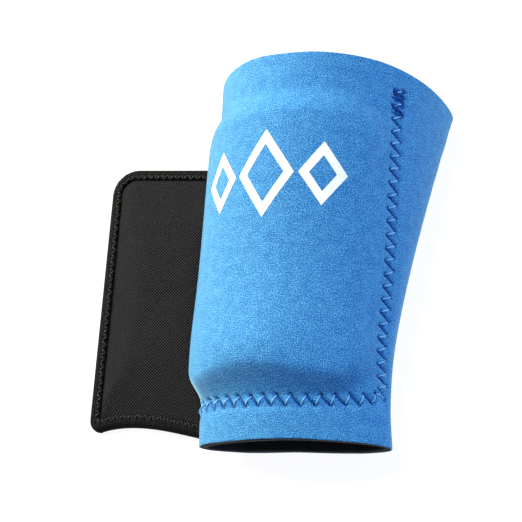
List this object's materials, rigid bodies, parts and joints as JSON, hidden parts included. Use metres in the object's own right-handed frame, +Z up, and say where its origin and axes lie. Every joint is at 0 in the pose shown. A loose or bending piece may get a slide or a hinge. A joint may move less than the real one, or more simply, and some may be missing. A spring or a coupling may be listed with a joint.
{
  "type": "wrist guard",
  "caption": "Tapered stretch wrist and forearm sleeve with a padded pocket over the wrist, beside its loose padded shield with a bound edge.",
  "frame": {"origin": "on the floor, under the middle of the sleeve and shield together", "axes": "+Y from the wrist opening to the forearm opening, +Z up through the pocket, +X across from the shield to the sleeve"},
  "size_m": [0.1564, 0.1444, 0.0652],
  "materials": {
    "sleeve_cloth": "blue stretch knit, faintly speckled",
    "sleeve_lining": "black foam backed with black knit",
    "pad_foam": "dark closed-cell foam",
    "panel_cloth": "black knit",
    "shield_cloth": "black rib knit over foam",
    "binding_tape": "black folded knit tape"
  },
  "bodies": {
    "root": {"sleeve_face": "sleeve_cloth", "sleeve_core": "sleeve_lining", "pocket_pad": "pad_foam", "pocket_panel": "panel_cloth", "shield_body": "shield_cloth", "shield_binding": "binding_tape"}
  },
  "joints": []
}
